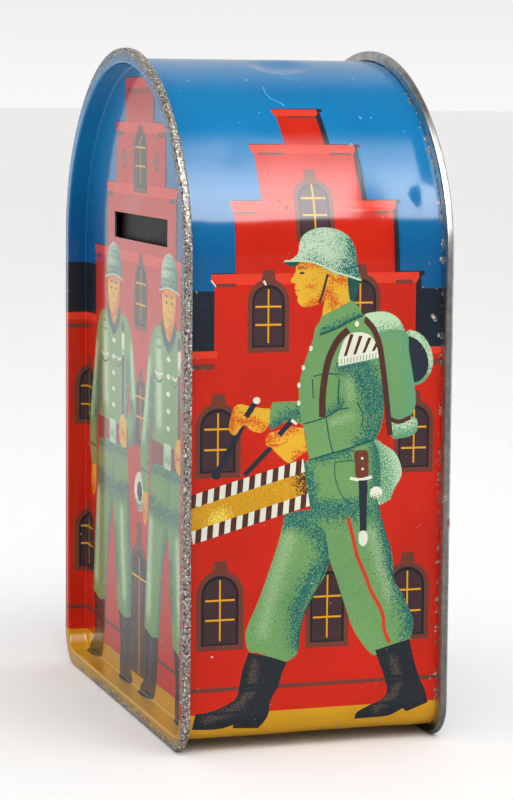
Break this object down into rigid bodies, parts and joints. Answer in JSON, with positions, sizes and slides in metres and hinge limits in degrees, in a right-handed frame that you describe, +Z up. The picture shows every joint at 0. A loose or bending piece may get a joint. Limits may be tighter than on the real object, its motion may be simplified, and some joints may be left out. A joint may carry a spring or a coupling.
{
  "type": "tin money box",
  "caption": "Arch-topped tinplate money box with folded rims, a coin slot with a flap behind it, and a hinged lockable door in the back.",
  "frame": {"origin": "on the ground, under the middle of the box", "axes": "+Z up, the front panel with the coin slot faces -Y, the box is as deep along Y as its end panels are apart"},
  "size_m": [0.077, 0.044, 0.11],
  "materials": {
    "printed_tin": "printed and varnished, glossy",
    "plain_tin": "bright tinplate, a little dulled",
    "dull_tin": "dull tinplate",
    "blacked_tin": "thin black lacquer, half matt",
    "steel_wire": "drawn steel",
    "spring_steel": "blued spring steel"
  },
  "bodies": {
    "shell": {"body_sheet": "printed_tin", "front_panel": "printed_tin", "back_panel": "plain_tin", "flap_bracket": "blacked_tin", "flap_pin": "steel_wire", "hinge_leaf": "plain_tin", "hinge_pin": "steel_wire", "hinge_rivet_upper": "dull_tin", "hinge_rivet_lower": "dull_tin"},
    "flap": {"coin_flap": "blacked_tin"},
    "door": {"trap_door": "plain_tin", "lock_case": "dull_tin", "lock_rivet_upper": "dull_tin", "lock_rivet_lower": "dull_tin", "key_post": "steel_wire", "bolt_guide_pin": "steel_wire", "bolt_spring": "spring_steel"},
    "bolt": {"lock_bolt": "steel_wire"}
  },
  "joints": [
    {"name": "flap_swing", "type": "hinge", "parent": "shell", "child": "flap", "pos_m": [0, -0.0171, 0.087], "axis": [1, 0, 0], "range_deg": [-4, 80]},
    {"name": "door_hinge", "type": "hinge", "parent": "shell", "child": "door", "pos_m": [0.02, 0.0198, 0.032], "axis": [0, 0, -1], "range_deg": [0, 110]},
    {"name": "bolt_slide", "type": "slide", "parent": "door", "child": "bolt", "axis": [-1, 0, 0], "range_m": [0, 0.0045]}
  ]
}
